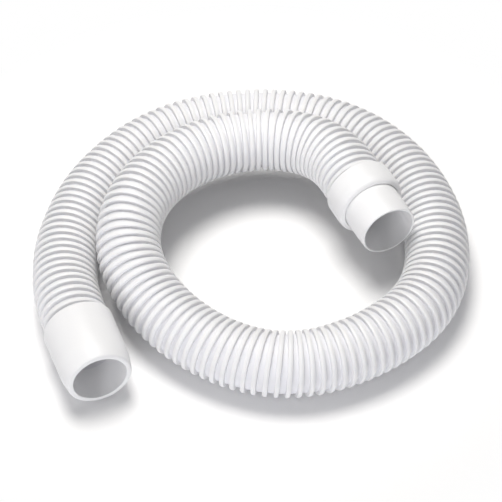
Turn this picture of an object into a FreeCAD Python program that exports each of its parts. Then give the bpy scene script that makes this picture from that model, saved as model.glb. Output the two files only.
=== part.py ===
# Pool vacuum hose, about a metre long: a ribbed hose lying in one and a half turns, with a fixed cuff
# on its first end and a swivel cuff on its second. Millimetres, +Z up. It lies on z = 0, and the
# middle of its outline is at the origin.
import FreeCAD, Part
import math
import os
from FreeCAD import Vector

bore_radius = 15.9         # of the hose and of both mouths, which take a 1-1/4 in fitting

# Hose. Its rings have flat sides, and its radii reach to the middle of a side.
hose_wall = 1.4            # in the grooves
rib_height = 1.7
rib_pitch = 5.3
crest_length = 2.8         # along the hose, on top of each rib
ring_sides = 10            # one side is underneath, and the hose lies on it
ribs_per_bore_ring = 4     # the bore is smooth, so its rings stand further apart

socket_clearance = 0.1     # between the corners of the ribs and the sockets that take them

# Fixed cuff, from its mouth back
fixed_stop = 22.0          # the hose's end stands here
fixed_socket_length = 20.0
fixed_wall = 1.0           # round the socket
nose_length = 7.0          # narrows towards the mouth
nose_narrowing = 1.5
rim_bevel = 1.0
fixed_back_bevel = 0.6

# Mouth cuff of the swivel end, from its mouth back
neck_length = 22.0         # in front of the collar
neck_wall = 1.7
neck_bevel_depth = 0.6
neck_bevel_length = 1.0
flange_thickness = 3.0
swivel_clearance = 0.3     # round the neck, round the flange and on both sides of it

# Washer between the flange and the hose's end
washer_thickness = 1.2
washer_clearance = 0.2     # outside in the socket, and inside round the bore

# Collar of the swivel end. Its socket takes the flange, the washer and the hose.
collar_lip = 2.5           # thickness of its wall in front of the flange
collar_hose_length = 10.7  # length of the hose in the socket
collar_wall = 1.3
collar_bevel_depth = 0.8
collar_bevel_length = 2.0
collar_back_bevel = 0.6


def corner_radius(flat_radius):
    return flat_radius / math.cos(math.pi / ring_sides)


groove_radius = bore_radius + hose_wall
crest_radius = groove_radius + rib_height
socket_radius = corner_radius(crest_radius) + socket_clearance
fixed_radius = socket_radius + fixed_wall

# Route of the hose's middle line, from the stop in the fixed cuff to the washer in the swivel end, as
# the control points of a quadratic spline: x, y, and the height above its place on the floor. The
# first turn lies on the floor, the second leans on it.
cuff_rise = fixed_radius - crest_radius
route = [
    (-94.0, -94.5, cuff_rise),
    (-99.0, -81.5, cuff_rise),
    (-104.8, -66.4, cuff_rise),
    (-111.5, -42.0, 1.0),
    (-112.3, -4.3, 0.0),
    (-97.3, 43.9, 0.0),
    (-60.4, 87.0, 0.0),
    (-7.6, 104.9, 0.0),
    (50.4, 98.4, 0.0),
    (92.6, 63.0, 0.0),
    (114.4, 6.3, 0.0),
    (108.0, -51.5, 0.0),
    (72.0, -87.4, 0.0),
    (24.9, -105.8, 0.0),
    (-16.9, -95.4, 0.0),
    (-52.0, -69.0, 4.0),
    (-73.3, -36.5, 12.6),
    (-74.3, -2.2, 19.4),
    (-58.1, 32.6, 19.4),
    (-28.8, 57.7, 17.8),
    (5.4, 66.6, 17.6),
    (34.4, 60.1, 19.5),
    (52.5, 44.1, 21.8),
    (64.0, 19.6, 21.8),
    (69.1, 8.6, 21.8),
]


def route_curve():
    degree = 2
    poles = [Vector(x, y, crest_radius + height) for x, y, height in route]
    spans = len(poles) - degree
    repeats = [degree + 1] + [1] * (spans - 1) + [degree + 1]
    curve = Part.BSplineCurve()
    curve.buildFromPolesMultsKnots(poles, repeats, list(range(spans + 1)), False, degree)
    return curve


middle_line = route_curve()
hose_length = middle_line.length()
rib_count = round(hose_length / rib_pitch)
true_pitch = hose_length / rib_count   # a whole number of ribs fills the hose


def station(distance):
    """Point and direction of the middle line, and the level and upward directions across it."""
    at = middle_line.parameterAtDistance(distance, middle_line.FirstParameter)
    along = middle_line.tangent(at)[0]
    side = along.cross(Vector(0, 0, 1)).normalize()
    return middle_line.value(at), along, side, side.cross(along)


def ring(distance, flat_radius):
    """Ring of flat sides across the hose, always turned the same way, with one side underneath."""
    point, _, side, up = station(distance)
    reach = corner_radius(flat_radius)
    corners = []
    for k in range(ring_sides):
        angle = 2 * math.pi * (k + 0.5) / ring_sides
        corners.append(point + side * (reach * math.sin(angle)) - up * (reach * math.cos(angle)))
    return Part.makePolygon(corners + corners[:1])


def ribbed_hose():
    """Each rib runs through four rings: groove, crest, crest, and a groove that it shares with the next."""
    flank = (true_pitch - crest_length) / 2
    rings = []
    for k in range(rib_count):
        start = k * true_pitch
        rings.append(ring(start, groove_radius))
        rings.append(ring(start + flank, crest_radius))
        rings.append(ring(start + flank + crest_length, crest_radius))
    rings.append(ring(hose_length, groove_radius))
    steps = round(rib_count / ribs_per_bore_ring)
    bore_rings = [ring(k * hose_length / steps, bore_radius) for k in range(steps + 1)]
    outside = Part.makeLoft(rings, False, True)
    inside = Part.makeLoft(bore_rings, False, True)
    ends = [Part.Face(rings[k]).cut(Part.Face(bore_rings[k])).Faces[0] for k in (0, -1)]
    skin = Part.Compound(outside.Faces + inside.Faces + ends)
    skin.sewShape()
    return Part.Solid(skin.Shells[0])


def turned(outline):
    """Solid of revolution about the X axis, from the (distance back from the mouth, radius) of its corners."""
    corners = [Vector(-back, 0, radius) for back, radius in outline]
    face = Part.Face(Part.makePolygon(corners + corners[:1]))
    return face.revolve(Vector(0, 0, 0), Vector(1, 0, 0), 360)


def fixed_cuff():
    nose_radius = fixed_radius - nose_narrowing
    back = fixed_stop + fixed_socket_length
    return turned([
        (0, bore_radius),
        (0, nose_radius - rim_bevel),
        (rim_bevel, nose_radius),
        (nose_length, fixed_radius),
        (back - fixed_back_bevel, fixed_radius),
        (back, fixed_radius - fixed_back_bevel),
        (back, socket_radius),
        (fixed_stop, socket_radius),
        (fixed_stop, bore_radius),
    ])


# Radii and places along the swivel end, measured back from its mouth
neck_radius = bore_radius + neck_wall
flange_radius = socket_radius - swivel_clearance
collar_radius = socket_radius + collar_wall
socket_front = neck_length + collar_lip
flange_front = socket_front + swivel_clearance
flange_back = flange_front + flange_thickness
washer_front = flange_back + swivel_clearance
swivel_stop = washer_front + washer_thickness
collar_back = swivel_stop + collar_hose_length


def swivel_cuff():
    return turned([
        (0, bore_radius),
        (0, neck_radius - neck_bevel_depth),
        (neck_bevel_length, neck_radius),
        (flange_front, neck_radius),
        (flange_front, flange_radius),
        (flange_back, flange_radius),
        (flange_back, bore_radius),
    ])


def swivel_collar():
    opening_radius = neck_radius + swivel_clearance
    return turned([
        (neck_length, opening_radius),
        (neck_length, collar_radius - collar_bevel_depth),
        (neck_length + collar_bevel_length, collar_radius),
        (collar_back - collar_back_bevel, collar_radius),
        (collar_back, collar_radius - collar_back_bevel),
        (collar_back, socket_radius),
        (socket_front, socket_radius),
        (socket_front, opening_radius),
    ])


def thrust_washer():
    return turned([
        (washer_front, bore_radius + washer_clearance),
        (washer_front, socket_radius - washer_clearance),
        (swivel_stop, socket_radius - washer_clearance),
        (swivel_stop, bore_radius + washer_clearance),
    ])


def placed(solid, hose_end, outwards, stop):
    """Puts a turned solid on the hose's end: its mouth points outwards, and its stop meets the end."""
    turn = FreeCAD.Rotation(Vector(1, 0, 0), outwards)
    solid.Placement = FreeCAD.Placement(hose_end + outwards * stop, turn)
    return solid


def least_turn_gap():
    """Smallest gap between the hose's two turns, measured between points of its middle line."""
    points = [station(k * true_pitch)[0] for k in range(rib_count + 1)]
    apart = int(6 * crest_radius / true_pitch)
    nearest = min(points[i].distanceToPoint(points[k])
                  for i in range(len(points)) for k in range(i + apart, len(points)))
    return nearest - 2 * corner_radius(crest_radius)


first_end, first_way, _, _ = station(0)
second_end, second_way, _, _ = station(hose_length)
fixed_way = first_way * -1
parts = {
    "ribbed_hose": ribbed_hose(),
    "fixed_cuff": placed(fixed_cuff(), first_end, fixed_way, fixed_stop),
    "swivel_collar": placed(swivel_collar(), second_end, second_way, swivel_stop),
    "thrust_washer": placed(thrust_washer(), second_end, second_way, swivel_stop),
    "swivel_cuff": placed(swivel_cuff(), second_end, second_way, swivel_stop),
}

os.makedirs("parts", exist_ok=True)
for name, shape in parts.items():
    shape.exportStep("parts/" + name + ".step")
    print(name, "valid", shape.isValid(), "solids", len(shape.Solids), "volume", round(shape.Volume))
print("hose", round(hose_length, 1), "ribs", rib_count, "pitch", round(true_pitch, 3))
print("mouth to mouth", round(hose_length + fixed_stop + swivel_stop, 1))
print("least gap between the turns", round(least_turn_gap(), 2))
print("fixed mouth", first_end + fixed_way * fixed_stop, "towards", fixed_way)
print("swivel mouth", second_end + second_way * swivel_stop, "towards", second_way)
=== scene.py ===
# White pool vacuum hose lying in one and a half turns, with a fixed cuff and a swivel cuff
import bpy
import math
from mathutils import Matrix, Vector


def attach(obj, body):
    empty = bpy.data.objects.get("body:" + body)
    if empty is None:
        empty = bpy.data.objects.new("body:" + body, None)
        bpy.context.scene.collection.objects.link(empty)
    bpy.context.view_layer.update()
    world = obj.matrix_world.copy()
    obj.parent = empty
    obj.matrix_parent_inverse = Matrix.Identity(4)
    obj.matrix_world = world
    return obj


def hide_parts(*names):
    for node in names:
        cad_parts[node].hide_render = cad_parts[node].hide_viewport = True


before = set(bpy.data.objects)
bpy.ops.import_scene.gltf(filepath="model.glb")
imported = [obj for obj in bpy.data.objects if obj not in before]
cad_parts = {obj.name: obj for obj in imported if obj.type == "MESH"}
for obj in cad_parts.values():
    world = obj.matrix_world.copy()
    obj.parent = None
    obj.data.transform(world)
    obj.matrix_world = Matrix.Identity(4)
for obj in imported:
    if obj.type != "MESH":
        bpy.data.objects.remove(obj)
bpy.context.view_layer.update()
scene = bpy.context.scene
mm = 0.001
pureWhite = (1.0, 1.0, 1.0, 1.0)


def hexColour(code):
    # sRGB hex to the linear colour that the shaders take
    parts = [int(code[k:k + 2], 16) / 255 for k in (1, 3, 5)]
    linear = [c / 12.92 if c <= 0.04045 else ((c + 0.055) / 1.055) ** 2.4 for c in parts]
    return (*linear, 1.0)


def addNode(tree, kind, inputs=None, **settings):
    # One node with its settings and inputs. An input is a value, another node's socket, or a node
    # for its first output. Mix nodes are told by number: 0 is the factor, 2 and 3 are the two
    # numbers, 6 and 7 the two colours, and output 2 is the mixed colour.
    made = tree.nodes.new(kind)
    for name, value in settings.items():
        setattr(made, name, value)
    for key, value in (inputs or {}).items():
        if isinstance(value, bpy.types.Node):
            value = value.outputs[0]
        if isinstance(value, bpy.types.NodeSocket):
            tree.links.new(value, made.inputs[key])
        else:
            made.inputs[key].default_value = value
    return made


# Materials. Lengths that end in Mm are in millimetres.

def newMaterial(name, look):
    material = bpy.data.materials.new(name)
    material.use_nodes = True
    material.diffuse_color = hexColour(look["colour"])
    shader = material.node_tree.nodes["Principled BSDF"]
    shader.inputs["Base Color"].default_value = hexColour(look["colour"])
    shader.inputs["Roughness"].default_value = look["roughness"]
    shader.inputs["IOR"].default_value = look["ior"]
    return material, material.node_tree, shader


def addShades(tree, place, look):
    # slow drift between a plastic's two shades: how far it has drifted, and the colour there
    clouds = addNode(tree, "ShaderNodeTexNoise", {
        "Vector": place, "Scale": 1 / (look["cloudMm"] * mm), "Detail": look["cloudDetail"]})
    tint = addNode(tree, "ShaderNodeMix", {
        0: clouds.outputs["Fac"], 6: hexColour(look["colour"]), 7: hexColour(look["shadeColour"])},
        data_type="RGBA")
    return clouds.outputs["Fac"], tint.outputs[2]


def addGrain(tree, shader, place, look):
    # fine relief of the skin
    grain = addNode(tree, "ShaderNodeTexNoise", {
        "Vector": place, "Scale": 1 / (look["grainMm"] * mm), "Detail": look["grainDetail"]})
    bump = addNode(tree, "ShaderNodeBump", {
        "Strength": look["grainStrength"], "Distance": look["grainDepthMm"] * mm,
        "Height": grain.outputs["Fac"]})
    tree.links.new(bump.outputs["Normal"], shader.inputs["Normal"])


def addGlow(shader, look):
    # a little light sinks in and comes out again, as in any white plastic
    shader.inputs["Subsurface Weight"].default_value = look["glowWeight"]
    shader.inputs["Subsurface Radius"].default_value = look["glowRatio"]
    shader.inputs["Subsurface Scale"].default_value = look["glowMm"] * mm


polyethylene = {
    "colour": "#f8f8f7",
    "shadeColour": "#f3f3f5",
    "cloudMm": 30.0,
    "cloudDetail": 3.0,
    "grooveShadeColour": "#ececef",    # painted shade: the skin between the ribs is drawn greyer, in place of the shade in the grooves
    "fullGrooveShadeUpTo": 0.1,            # up to this share of a rib's height the painted groove shade is full
    "noGrooveShadeFrom": 0.8,            # and from this one on there is no painted shade, and the skin is all white
    "roughness": 0.5,
    "glossierBy": 0.05,        # how far the roughness falls in one shade
    "dullerBy": 0.07,          # and rises in the other
    "ior": 1.51,
    "grainMm": 0.9,            # drawn coarser than the real matt skin, so that it shows
    "grainDetail": 2.0,
    "grainDepthMm": 0.012,
    "grainStrength": 0.5,
    "glowWeight": 0.15,
    "glowRatio": (1.2, 1.1, 1.0),
    "glowMm": 0.6,
}


def makeHosePlastic():
    # white polyethylene, extruded as a strip and wound: a satin skin that glows a little where the
    # ribs are thin, with painted shade in the grooves between them
    look = polyethylene
    material, tree, shader = newMaterial("extrudedPolyethylene", look)
    place = addNode(tree, "ShaderNodeTexCoord").outputs["Object"]
    clouds, tint = addShades(tree, place, look)
    # painted shade: the grooves get the greyer colour, the more so the lower a point lies on its
    # rib
    rise = addNode(tree, "ShaderNodeAttribute", attribute_name="ribRise")
    outOfGrooveShade = addNode(tree, "ShaderNodeMapRange", {
        "Value": rise.outputs["Fac"], "From Min": look["fullGrooveShadeUpTo"], "From Max": look["noGrooveShadeFrom"]})
    skin = addNode(tree, "ShaderNodeMix", {
        0: outOfGrooveShade, 6: hexColour(look["grooveShadeColour"]), 7: tint}, data_type="RGBA")
    tree.links.new(skin.outputs[2], shader.inputs["Base Color"])
    gloss = addNode(tree, "ShaderNodeMapRange", {
        "Value": clouds, "To Min": look["roughness"] - look["glossierBy"],
        "To Max": look["roughness"] + look["dullerBy"]})
    tree.links.new(gloss.outputs[0], shader.inputs["Roughness"])
    addGrain(tree, shader, place, look)
    addGlow(shader, look)
    return material


cuffVinyl = {
    "colour": "#fafafa",
    "shadeColour": "#f6f6f7",
    "cloudMm": 14.0,
    "cloudDetail": 4.0,
    "roughness": 0.46,
    "ior": 1.53,
    "grainMm": 0.7,            # coarser than the real skin, as on the hose
    "grainDetail": 2.0,
    "grainDepthMm": 0.008,
    "grainStrength": 0.4,
    "glowWeight": 0.15,
    "glowRatio": (1.0, 1.0, 1.0),
    "glowMm": 0.5,
}


def makeCuffPlastic():
    # white vinyl, injection moulded: smoother and a little glossier than the hose, with faint
    # marks where it flowed
    material, tree, shader = newMaterial("mouldedVinyl", cuffVinyl)
    place = addNode(tree, "ShaderNodeTexCoord").outputs["Object"]
    _, tint = addShades(tree, place, cuffVinyl)
    tree.links.new(tint, shader.inputs["Base Color"])
    addGrain(tree, shader, place, cuffVinyl)
    addGlow(shader, cuffVinyl)
    return material


acetal = {
    "colour": "#dcdcd8",
    "roughness": 0.28,
    "ior": 1.48,
    "grainMm": 1.111,
    "grainDetail": 1.0,
    "grainDepthMm": 0.01,
    "grainStrength": 0.3,
}


def makeWasherPlastic():
    # acetal, turned: slightly darker and slipperier than the vinyl round it
    material, tree, shader = newMaterial("turnedAcetal", acetal)
    place = addNode(tree, "ShaderNodeTexCoord").outputs["Object"]
    addGrain(tree, shader, place, acetal)
    return material


hosePlastic = makeHosePlastic()
cuffPlastic = makeCuffPlastic()
washerPlastic = makeWasherPlastic()
print("materials made")

# Hose and its route. Lengths are in millimetres.

hose = {
    "floorHeight": 19.0,       # of the middle line, where the hose lies on the floor
    "cuffRise": 2.078,         # the fixed cuff is thicker than the hose, and lifts its end
    "crestRadius": 19.5,
    "ribHeight": 2.5,
    "crestWidth": 3.2,
    "crestPower": 0.35,        # below 1 a crest gets a flat top and steep sides
    "boreRadius": 15.9,
    "pitch": 5.3,
    "bendReach": 12.0,         # how far to each side the bend is measured
    "columns": 44,             # points round the hose
    "crestRows": 5,            # rows of faces over a rib
    "grooveRows": 3,           # rows of faces along the bottom of a groove
    "boreRows": 140,
    "mergeDistance": 0.002,
    "sharpAngle": 48.0,        # degrees
    "routeSteps": 16,          # points of the line for each point of the route
}

# Control points of the middle line: x, y, and the height above its place on the floor
route = [
    (-94.0, -94.5, hose["cuffRise"]),
    (-99.0, -81.5, hose["cuffRise"]),
    (-104.8, -66.4, hose["cuffRise"]),
    (-111.5, -42.0, 1.0),
    (-112.3, -4.3, 0.0),
    (-97.3, 43.9, 0.0),
    (-60.4, 87.0, 0.0),
    (-7.6, 104.9, 0.0),
    (50.4, 98.4, 0.0),
    (92.6, 63.0, 0.0),
    (114.4, 6.3, 0.0),
    (108.0, -51.5, 0.0),
    (72.0, -87.4, 0.0),
    (24.9, -105.8, 0.0),
    (-16.9, -95.4, 0.0),
    (-52.0, -69.0, 4.0),
    (-73.3, -36.5, 12.6),
    (-74.3, -2.2, 19.4),
    (-58.1, 32.6, 19.4),
    (-28.8, 57.7, 17.8),
    (5.4, 66.6, 17.6),
    (34.4, 60.1, 19.5),
    (52.5, 44.1, 21.8),
    (64.0, 19.6, 21.8),
    (69.1, 8.6, 21.8),
]


def makeRoute():
    curve = bpy.data.curves.new("hoseRoute", "CURVE")
    curve.dimensions = "3D"
    curve.resolution_u = hose["routeSteps"]
    spline = curve.splines.new("NURBS")
    spline.points.add(len(route) - 1)
    for point, (x, y, rise) in zip(spline.points, route):
        point.co = (x * mm, y * mm, (hose["floorHeight"] + rise) * mm, 1.0)
    spline.order_u = 3
    spline.use_endpoint_u = True
    made = bpy.data.objects.new("hoseRoute", curve)
    scene.collection.objects.link(made)
    return made


def plainMesh(source):
    # the mesh that an object's curve or modifiers make
    bpy.context.view_layer.update()
    evaluated = source.evaluated_get(bpy.context.evaluated_depsgraph_get())
    return bpy.data.meshes.new_from_object(evaluated)


def routePoints():
    line = plainMesh(hoseRoute)
    points = [vertex.co.copy() for vertex in line.vertices]
    bpy.data.meshes.remove(line)
    return points


hoseRoute = makeRoute()
middleLine = routePoints()
hoseLength = sum((b - a).length for a, b in zip(middleLine, middleLine[1:]))
ribCount = round(hoseLength / (hose["pitch"] * mm))
print("route", round(hoseLength, 4), "m,", ribCount, "ribs")


def hoseTree():
    # The skin is one sheet of faces. Its rows follow the winding: each row climbs by one pitch on
    # its way round, and its end meets the start of the row one rib further on. The sheet then turns
    # inwards at the hose's end and runs back as the bore.
    tree = bpy.data.node_groups.new("woundRibs", "GeometryNodeTree")
    sockets = tree.interface
    sockets.new_socket("Geometry", in_out="INPUT", socket_type="NodeSocketGeometry")
    for name in ("Crest Radius", "Rib Height", "Crest Width", "Crest Power", "Bore Radius",
                 "Bend Reach", "Merge Distance"):
        sockets.new_socket(name, in_out="INPUT", socket_type="NodeSocketFloat")
    for name in ("Ribs", "Columns", "Crest Rows", "Groove Rows", "Bore Rows"):
        sockets.new_socket(name, in_out="INPUT", socket_type="NodeSocketInt")
    sockets.new_socket("Material", in_out="INPUT", socket_type="NodeSocketMaterial")
    sockets.new_socket("Geometry", in_out="OUTPUT", socket_type="NodeSocketGeometry")
    given = addNode(tree, "NodeGroupInput").outputs
    floatMath = "ShaderNodeMath"
    wholeMath = "FunctionNodeIntegerMath"
    vectorMath = "ShaderNodeVectorMath"
    sample = "GeometryNodeSampleCurve"
    upright = (0.0, 0.0, 1.0)
    floorLimit = (-10.0, -10.0, 0.0)   # metres: the least x, y and z that a point may have
    samePlace = 1e-7                   # metres

    # the flat sheet, and the row and column of each of its points; its rows are those of the
    # windings, then those of the bore and the one that closes it
    rowsPerRib = addNode(tree, wholeMath, {
        0: given["Crest Rows"], 1: given["Groove Rows"]}, operation="ADD")
    turns = addNode(tree, wholeMath, {0: given["Ribs"], 1: 1}, operation="ADD")
    boreStart = addNode(tree, wholeMath, {
        0: turns, 1: rowsPerRib, 2: 1}, operation="MULTIPLY_ADD")
    boreStop = addNode(tree, wholeMath, {0: boreStart, 1: given["Bore Rows"]}, operation="ADD")
    rowCount = addNode(tree, wholeMath, {0: boreStop, 1: 2}, operation="ADD")
    perRow = addNode(tree, wholeMath, {0: given["Columns"], 1: 1}, operation="ADD")
    sheet = addNode(tree, "GeometryNodeMeshGrid", {"Vertices X": rowCount, "Vertices Y": perRow})
    index = addNode(tree, "GeometryNodeInputIndex")
    row = addNode(tree, wholeMath, {0: index, 1: perRow}, operation="DIVIDE_FLOOR")
    column = addNode(tree, wholeMath, {0: index, 1: perRow}, operation="MODULO")
    rib = addNode(tree, wholeMath, {0: row, 1: rowsPerRib}, operation="DIVIDE_FLOOR")
    rowInRib = addNode(tree, wholeMath, {0: row, 1: rowsPerRib}, operation="MODULO")
    share = addNode(tree, floatMath, {0: column, 1: given["Columns"]}, operation="DIVIDE")
    around = addNode(tree, floatMath, {0: share, 1: 2 * math.pi}, operation="MULTIPLY")
    sine = addNode(tree, floatMath, {0: around}, operation="SINE")
    cosine = addNode(tree, floatMath, {0: around}, operation="COSINE")

    # where each rib starts along the route at this column, the first one before the hose's end
    length = addNode(tree, "GeometryNodeCurveLength", {"Curve": given["Geometry"]})
    pitch = addNode(tree, floatMath, {0: length, 1: given["Ribs"]}, operation="DIVIDE")
    wound = addNode(tree, floatMath, {0: rib, 1: share}, operation="ADD")
    fromFirst = addNode(tree, floatMath, {0: wound, 1: 1.0}, operation="SUBTRACT")
    ribStart = addNode(tree, floatMath, {0: fromFirst, 1: pitch}, operation="MULTIPLY")

    # a bend spreads the ribs outside and closes them inside, and their crests keep their width
    behind = addNode(tree, floatMath, {0: ribStart, 1: given["Bend Reach"]}, operation="SUBTRACT")
    ahead = addNode(tree, floatMath, {0: ribStart, 1: given["Bend Reach"]}, operation="ADD")
    wayBehind = addNode(tree, sample, {
        "Curves": given["Geometry"], "Length": behind}, mode="LENGTH").outputs["Tangent"]
    wayAhead = addNode(tree, sample, {
        "Curves": given["Geometry"], "Length": ahead}, mode="LENGTH").outputs["Tangent"]
    change = addNode(tree, vectorMath, {0: wayAhead, 1: wayBehind}, operation="SUBTRACT")
    perLength = addNode(tree, floatMath, {0: 0.5, 1: given["Bend Reach"]}, operation="DIVIDE")
    bend = addNode(tree, vectorMath, {0: change, "Scale": perLength}, operation="SCALE")
    bothWays = addNode(tree, vectorMath, {0: wayAhead, 1: wayBehind}, operation="ADD")
    level = addNode(tree, vectorMath, {0: bothWays, 1: upright}, operation="CROSS_PRODUCT")
    side = addNode(tree, vectorMath, {0: level}, operation="NORMALIZE")
    sideBend = addNode(tree, vectorMath, {0: bend, 1: side}, operation="DOT_PRODUCT")
    lean = addNode(tree, floatMath, {
        0: sideBend.outputs["Value"], 1: sine}, operation="MULTIPLY")
    reach = addNode(tree, floatMath, {0: lean, 1: given["Crest Radius"]}, operation="MULTIPLY")
    stretch = addNode(tree, floatMath, {0: 1.0, 1: reach}, operation="SUBTRACT")
    crest = addNode(tree, floatMath, {0: given["Crest Width"], 1: stretch}, operation="DIVIDE")

    # the outside's place along the route and its radius: a crest, then the flat bottom of a groove
    crestRow = addNode(tree, wholeMath, {
        0: rowInRib, 1: given["Crest Rows"]}, operation="MINIMUM")
    crestShare = addNode(tree, floatMath, {
        0: crestRow, 1: given["Crest Rows"]}, operation="DIVIDE")
    crestAngle = addNode(tree, floatMath, {0: crestShare, 1: math.pi}, operation="MULTIPLY")
    crestCosine = addNode(tree, floatMath, {0: crestAngle}, operation="COSINE")
    crestSine = addNode(tree, floatMath, {0: crestAngle}, operation="SINE")
    halfCrest = addNode(tree, floatMath, {0: crest, 1: -0.5}, operation="MULTIPLY")
    grooveRow = addNode(tree, wholeMath, {0: rowInRib, 1: crestRow}, operation="SUBTRACT")
    grooveShare = addNode(tree, floatMath, {
        0: grooveRow, 1: given["Groove Rows"]}, operation="DIVIDE")
    grooveWidth = addNode(tree, floatMath, {0: pitch, 1: crest}, operation="SUBTRACT")
    intoGroove = addNode(tree, floatMath, {0: grooveShare, 1: grooveWidth}, operation="MULTIPLY")
    fromRib = addNode(tree, floatMath, {
        0: crestCosine, 1: halfCrest, 2: intoGroove}, operation="MULTIPLY_ADD")

    # no point goes past either end of the route, and one that is held back there gets no height
    free = addNode(tree, floatMath, {0: ribStart, 1: fromRib}, operation="ADD")
    notBefore = addNode(tree, floatMath, {0: free, 1: 0.0}, operation="MAXIMUM")
    place = addNode(tree, floatMath, {0: notBefore, 1: length}, operation="MINIMUM")
    isWhole = addNode(tree, floatMath, {0: free, 1: place, 2: samePlace}, operation="COMPARE")
    rounded = addNode(tree, floatMath, {0: crestSine, 1: given["Crest Power"]}, operation="POWER")
    rise = addNode(tree, floatMath, {0: rounded, 1: isWhole}, operation="MULTIPLY")
    groove = addNode(tree, floatMath, {
        0: given["Crest Radius"], 1: given["Rib Height"]}, operation="SUBTRACT")
    outsideRadius = addNode(tree, floatMath, {
        0: rise, 1: given["Rib Height"], 2: groove}, operation="MULTIPLY_ADD")

    # back through the bore, and a last row that closes the sheet at the first end
    isOutside = addNode(tree, floatMath, {0: row, 1: boreStart}, operation="LESS_THAN")
    isLast = addNode(tree, floatMath, {0: row, 1: boreStop}, operation="GREATER_THAN")
    borePlace = addNode(tree, "ShaderNodeMapRange", {
        "Value": row, "From Min": boreStart, "From Max": boreStop, "To Min": length, "To Max": 0.0})
    distance = addNode(tree, "GeometryNodeSwitch", {
        "Switch": isOutside, "False": borePlace, "True": place}, input_type="FLOAT")
    boreRadius = addNode(tree, "GeometryNodeSwitch", {
        "Switch": isLast, "False": given["Bore Radius"], "True": groove}, input_type="FLOAT")
    radius = addNode(tree, "GeometryNodeSwitch", {
        "Switch": isOutside, "False": boreRadius, "True": outsideRadius}, input_type="FLOAT")

    # the points moved out from the route, square to it and never turned about it
    here = addNode(tree, sample, {
        "Curves": given["Geometry"], "Length": distance}, mode="LENGTH").outputs
    levelHere = addNode(tree, vectorMath, {
        0: here["Tangent"], 1: upright}, operation="CROSS_PRODUCT")
    sideHere = addNode(tree, vectorMath, {0: levelHere}, operation="NORMALIZE")
    upHere = addNode(tree, vectorMath, {
        0: sideHere, 1: here["Tangent"]}, operation="CROSS_PRODUCT")
    sideways = addNode(tree, vectorMath, {0: sideHere, "Scale": sine}, operation="SCALE")
    upwards = addNode(tree, vectorMath, {0: upHere, "Scale": cosine}, operation="SCALE")
    outwards = addNode(tree, vectorMath, {0: sideways, 1: upwards}, operation="SUBTRACT")
    offset = addNode(tree, vectorMath, {0: outwards, "Scale": radius}, operation="SCALE")
    spot = addNode(tree, vectorMath, {0: here["Position"], 1: offset}, operation="ADD")
    pressed = addNode(tree, vectorMath, {0: spot, 1: floorLimit}, operation="MAXIMUM")
    moved = addNode(tree, "GeometryNodeSetPosition", {"Geometry": sheet, "Position": pressed})

    # how far up a rib each point is, for the material's painted shade in the grooves
    ribRise = addNode(tree, floatMath, {0: rise, 1: isOutside}, operation="MULTIPLY")
    marked = addNode(tree, "GeometryNodeStoreNamedAttribute", {
        "Geometry": moved, "Name": "ribRise", "Value": ribRise}, data_type="FLOAT", domain="POINT")
    joined = addNode(tree, "GeometryNodeMergeByDistance", {
        "Geometry": marked, "Distance": given["Merge Distance"]})
    real = addNode(tree, "GeometryNodeRealizeInstances", {"Geometry": joined})
    painted = addNode(tree, "GeometryNodeSetMaterial", {
        "Geometry": real, "Material": given["Material"]})
    addNode(tree, "NodeGroupOutput", {"Geometry": painted})
    return tree


def giveInputs(modifier, values):
    sockets = {item.name: item.identifier for item in modifier.node_group.interface.items_tree
               if item.item_type == "SOCKET" and item.in_out == "INPUT"}
    for name, value in values.items():
        modifier[sockets[name]] = value


def makeHose():
    modifier = hoseRoute.modifiers.new("woundRibs", "NODES")
    modifier.node_group = hoseTree()
    giveInputs(modifier, {
        "Crest Radius": hose["crestRadius"] * mm,
        "Rib Height": hose["ribHeight"] * mm,
        "Crest Width": hose["crestWidth"] * mm,
        "Crest Power": hose["crestPower"],
        "Bore Radius": hose["boreRadius"] * mm,
        "Bend Reach": hose["bendReach"] * mm,
        "Merge Distance": hose["mergeDistance"] * mm,
        "Ribs": ribCount,
        "Columns": hose["columns"],
        "Crest Rows": hose["crestRows"],
        "Groove Rows": hose["grooveRows"],
        "Bore Rows": hose["boreRows"],
        "Material": hosePlastic,
    })
    mesh = plainMesh(hoseRoute)
    made = bpy.data.objects.new("woundHose", mesh)
    scene.collection.objects.link(made)
    bpy.data.objects.remove(hoseRoute)
    mesh.shade_smooth()
    mesh.set_sharp_from_angle(angle=math.radians(hose["sharpAngle"]))
    return made


woundHose = makeHose()
print("hose", len(woundHose.data.vertices), "points", len(woundHose.data.polygons), "faces")

# Cuffs, turned from their outlines: the distance back from the mouth, the radius and the rounding
# of each corner. All are in millimetres.

turning = {
    "segments": 128,
    "arcStep": 15.0,           # degrees of a rounded corner between two points
    "fewestArcSteps": 3,
    "sharpAngle": 50.0,        # degrees
}


def roundedOutline(corners):
    # closed outline whose corners (x, y, rounding) are drawn as arcs
    points = []
    count = len(corners)
    for k, (x, y, rounding) in enumerate(corners):
        here = Vector((x, y))
        if rounding == 0:
            points.append(here)
            continue
        back = (Vector(corners[k - 1][:2]) - here).normalized()
        on = (Vector(corners[(k + 1) % count][:2]) - here).normalized()
        half = back.angle(on) / 2
        centre = here + (back + on).normalized() * (rounding / math.sin(half))
        first = here + back * (rounding / math.tan(half)) - centre
        last = here + on * (rounding / math.tan(half)) - centre
        steps = round(first.angle(last) / math.radians(turning["arcStep"]))
        steps = max(turning["fewestArcSteps"], steps)
        turn = first.angle_signed(last)
        for step in range(steps + 1):
            points.append(centre + Matrix.Rotation(-turn * step / steps, 2) @ first)
    return points


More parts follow.
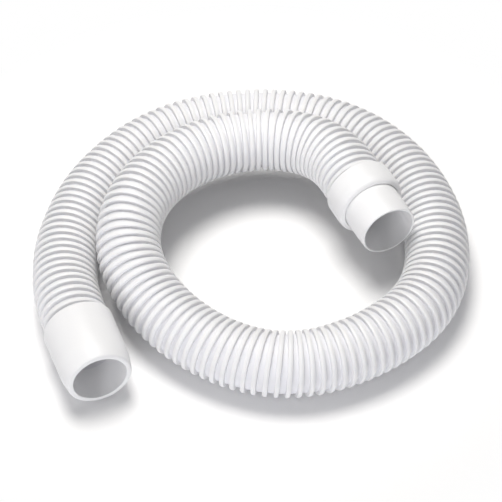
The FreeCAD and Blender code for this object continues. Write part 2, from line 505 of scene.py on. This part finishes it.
def turnedPiece(name, corners, mouth, way):
    outline = roundedOutline(corners)
    side = way.cross(Vector((0, 0, 1))).normalized()
    up = side.cross(way)
    points = []
    faces = []
    count = len(outline)
    segments = turning["segments"]
    for s in range(segments):
        angle = 2 * math.pi * s / segments
        out = side * math.sin(angle) + up * math.cos(angle)
        points += [mouth - way * (back * mm) + out * (radius * mm) for back, radius in outline]
        here = s * count
        after = (s + 1) % segments * count
        for k in range(count):
            on = (k + 1) % count
            faces.append((here + k, here + on, after + on, after + k))
    mesh = bpy.data.meshes.new(name)
    mesh.from_pydata(points, [], faces)
    mesh.materials.append(cuffPlastic)
    made = bpy.data.objects.new(name, mesh)
    scene.collection.objects.link(made)
    mesh.shade_smooth()
    mesh.set_sharp_from_angle(angle=math.radians(turning["sharpAngle"]))
    return made


fixedCuff = {
    "boreRadius": 15.9,
    "boreRounding": 0.4,
    "mouthRadius": 19.0,
    "mouthRounding": 1.7,
    "bellyPlace": 9.0,
    "bellyRadius": 20.6,
    "bellyRounding": 25.0,
    "backPlace": 42.0,
    "backRadius": 21.078,
    "backRounding": 1.3,
    "gripRadius": 19.6,        # closes on the hose's ribs
    "gripRounding": 0.2,
    "stop": 22.0,              # the hose's end stands here
}


def makeFixedCuff():
    size = fixedCuff
    hoseEnd = middleLine[0]
    way = (hoseEnd - middleLine[1]).normalized()
    return turnedPiece("fixedCuff", [
        (0.0, size["boreRadius"], size["boreRounding"]),
        (0.0, size["mouthRadius"], size["mouthRounding"]),
        (size["bellyPlace"], size["bellyRadius"], size["bellyRounding"]),
        (size["backPlace"], size["backRadius"], size["backRounding"]),
        (size["backPlace"], size["gripRadius"], size["gripRounding"]),
        (size["stop"], size["gripRadius"], 0.0),
        (size["stop"], size["boreRadius"], 0.0),
    ], hoseEnd + way * (size["stop"] * mm), way)


swivelCuff = {
    "boreRadius": 15.9,
    "boreRounding": 0.4,
    "mouthRadius": 17.1,
    "mouthRounding": 0.6,
    "neckPlace": 9.0,
    "neckRadius": 17.6,
    "neckRounding": 20.0,
    "flangeFront": 24.8,
    "flangeBack": 27.8,
    "flangeRadius": 19.778,
    "flangeRounding": 0.3,
}
swivelStop = 29.3              # the hose's end stands here, behind the flange and the washer
swivelWay = (middleLine[-1] - middleLine[-2]).normalized()
swivelMouth = middleLine[-1] + swivelWay * (swivelStop * mm)


def makeSwivelCuff():
    size = swivelCuff
    return turnedPiece("swivelCuff", [
        (0.0, size["boreRadius"], size["boreRounding"]),
        (0.0, size["mouthRadius"], size["mouthRounding"]),
        (size["neckPlace"], size["neckRadius"], size["neckRounding"]),
        (size["flangeFront"], size["neckRadius"], 0.0),
        (size["flangeFront"], size["flangeRadius"], size["flangeRounding"]),
        (size["flangeBack"], size["flangeRadius"], size["flangeRounding"]),
        (size["flangeBack"], size["boreRadius"], size["flangeRounding"]),
    ], swivelMouth, swivelWay)


swivelCollar = {
    "frontPlace": 22.0,
    "openingRadius": 17.9,
    "openingRounding": 0.4,
    "facePlace": 22.8,         # the front face leans back a little towards its rim
    "faceRadius": 20.8,
    "faceRounding": 2.4,
    "shoulderPlace": 27.5,
    "shoulderRounding": 6.0,
    "backPlace": 40.0,
    "backRadius": 21.378,
    "backRounding": 0.9,
    "gripPlace": 36.0,
    "gripRadius": 19.6,        # closes on the hose's ribs
    "gripRounding": 0.2,
    "socketBack": 35.5,
    "socketFront": 24.5,
    "socketRadius": 20.078,
}


def makeSwivelCollar():
    size = swivelCollar
    return turnedPiece("swivelCollar", [
        (size["frontPlace"], size["openingRadius"], size["openingRounding"]),
        (size["facePlace"], size["faceRadius"], size["faceRounding"]),
        (size["shoulderPlace"], size["backRadius"], size["shoulderRounding"]),
        (size["backPlace"], size["backRadius"], size["backRounding"]),
        (size["backPlace"], size["gripRadius"], size["gripRounding"]),
        (size["gripPlace"], size["gripRadius"], 0.0),
        (size["socketBack"], size["socketRadius"], 0.0),
        (size["socketFront"], size["socketRadius"], 0.0),
        (size["socketFront"], size["openingRadius"], 0.0),
    ], swivelMouth, swivelWay)


def finishPiece(made, body, node):
    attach(made, body)
    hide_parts(node)


fixedCuffPiece = makeFixedCuff()
swivelCuffPiece = makeSwivelCuff()
swivelCollarPiece = makeSwivelCollar()
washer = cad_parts["thrust_washer"]   # keeps its own shape
for slot in washer.material_slots:
    slot.material = washerPlastic
finishPiece(fixedCuffPiece, "hose", "fixed_cuff")
finishPiece(swivelCuffPiece, "mouth_cuff", "swivel_cuff")
finishPiece(swivelCollarPiece, "hose", "swivel_collar")
finishPiece(woundHose, "hose", "ribbed_hose")
print("cuffs made")

# Floor, light and camera. Lengths are in metres unless a note says otherwise.

def addSeen(tree):
    # 1 where the camera sees a place, also by way of gloss or glass, and 0 for light on the object
    rays = addNode(tree, "ShaderNodeLightPath").outputs
    mirrored = addNode(tree, "ShaderNodeMath", {
        0: rays["Is Glossy Ray"], 1: rays["Is Transmission Ray"]}, operation="MAXIMUM")
    return addNode(tree, "ShaderNodeMath", {
        0: rays["Is Camera Ray"], 1: mirrored}, operation="MAXIMUM")


paperFloor = {
    "size": 6.0,
    "colour": "#e6e6e8",
    "seenBrightness": 1.12,    # brighter for the camera than for the object: it comes out white
    "shadowReach": 0.17,       # from the middle; further out the camera sees plain white paper
    "whiteFrom": 0.24,
}


def makeFloor():
    look = paperFloor
    half = look["size"] / 2
    corners = [(-half, -half, 0), (half, -half, 0), (half, half, 0), (-half, half, 0)]
    mesh = bpy.data.meshes.new("floor")
    mesh.from_pydata(corners, [], [(0, 1, 2, 3)])
    floor = bpy.data.objects.new("floor", mesh)
    scene.collection.objects.link(floor)
    material = bpy.data.materials.new("paperFloor")
    material.use_nodes = True
    tree = material.node_tree
    tree.nodes.clear()
    seen = addSeen(tree)
    bright = look["seenBrightness"]
    colour = addNode(tree, "ShaderNodeMix", {
        0: seen, 6: hexColour(look["colour"]), 7: (bright, bright, bright, 1.0)}, data_type="RGBA")
    matt = addNode(tree, "ShaderNodeBsdfDiffuse", {"Color": colour.outputs[2]})
    place = addNode(tree, "ShaderNodeTexCoord").outputs["Object"]
    away = addNode(tree, "ShaderNodeVectorMath", {0: place}, operation="LENGTH")
    far = addNode(tree, "ShaderNodeMapRange", {
        "Value": away.outputs["Value"], "From Min": look["shadowReach"],
        "From Max": look["whiteFrom"]}, interpolation_type="SMOOTHSTEP")
    farAndSeen = addNode(tree, "ShaderNodeMath", {0: far, 1: seen}, operation="MULTIPLY")
    white = addNode(tree, "ShaderNodeEmission", {"Color": pureWhite, "Strength": 1.0})
    paper = addNode(tree, "ShaderNodeMixShader", {0: farAndSeen, 1: matt, 2: white})
    addNode(tree, "ShaderNodeOutputMaterial", {"Surface": paper})
    mesh.materials.append(material)


fill = {
    "colour": "#f9f9fc",       # cool, as in the shades of the photograph
    "strength": 0.27,
}


def makeWorld():
    world = bpy.data.worlds.new("studio")
    scene.world = world
    world.use_nodes = True
    tree = world.node_tree
    tree.nodes.clear()
    seen = addSeen(tree)
    strength = addNode(tree, "ShaderNodeMix", {
        0: seen, 2: fill["strength"], 3: 1.0}, data_type="FLOAT")
    colour = addNode(tree, "ShaderNodeMix", {
        0: seen, 6: hexColour(fill["colour"]), 7: pureWhite}, data_type="RGBA")
    sky = addNode(tree, "ShaderNodeBackground", {
        "Color": colour.outputs[2], "Strength": strength})
    addNode(tree, "ShaderNodeOutputWorld", {"Surface": sky})


keySoftbox = {
    "colour": "#fffdfa",
    "strength": 10.4,          # watts
    "width": 0.6,
    "height": 0.6,
    "distance": 1.2,           # from the middle of the floor
    "elevation": 76.0,         # degrees: almost overhead
    "azimuth": -30.0,          # degrees from the back of the scene, to the right
}
frontSoftbox = {
    "colour": "#f9f9fc",
    "strength": 26.0,
    "width": 2.4,
    "height": 0.5,
    "distance": 2.4,
    "elevation": 7.0,          # low, so that it lights the hose's front and hardly the floor
    "azimuth": 192.0,
}


def makeSoftbox(name, look):
    lamp = bpy.data.lights.new(name, "AREA")
    lamp.shape = "ELLIPSE"
    lamp.size = look["width"]
    lamp.size_y = look["height"]
    lamp.energy = look["strength"]
    lamp.color = hexColour(look["colour"])[:3]
    softbox = bpy.data.objects.new(name, lamp)
    lift = math.radians(look["elevation"])
    turn = math.radians(look["azimuth"])
    towards = Vector((
        math.sin(turn) * math.cos(lift), math.cos(turn) * math.cos(lift), math.sin(lift)))
    softbox.location = towards * look["distance"]
    softbox.rotation_euler = towards.to_track_quat("Z", "Y").to_euler()
    scene.collection.objects.link(softbox)


photoView = {
    "elevation": 47.0,         # degrees
    "distance": 1172.0,        # millimetres, as is the place that it looks at
    "target": (-0.6, 3.8, 0.0),
    "focalPixels": 1897.0,
    "pixels": 502.0,
    "sensor": 36.0,            # millimetres
    "sightLimit": 20.0,
}


def makeCamera():
    look = photoView
    lens = bpy.data.cameras.new("photoCamera")
    lens.sensor_width = look["sensor"]
    lens.lens = look["focalPixels"] / look["pixels"] * look["sensor"]
    lens.clip_end = look["sightLimit"]
    camera = bpy.data.objects.new("photoCamera", lens)
    lift = math.radians(look["elevation"])
    away = Vector((0.0, -math.cos(lift), math.sin(lift)))
    camera.location = Vector(look["target"]) * mm + away * (look["distance"] * mm)
    camera.rotation_euler = away.to_track_quat("Z", "Y").to_euler()
    scene.collection.objects.link(camera)
    scene.camera = camera


makeFloor()
makeWorld()
makeSoftbox("keySoftbox", keySoftbox)
makeSoftbox("frontSoftbox", frontSoftbox)
makeCamera()
scene.view_settings.view_transform = "Standard"
print("studio made")
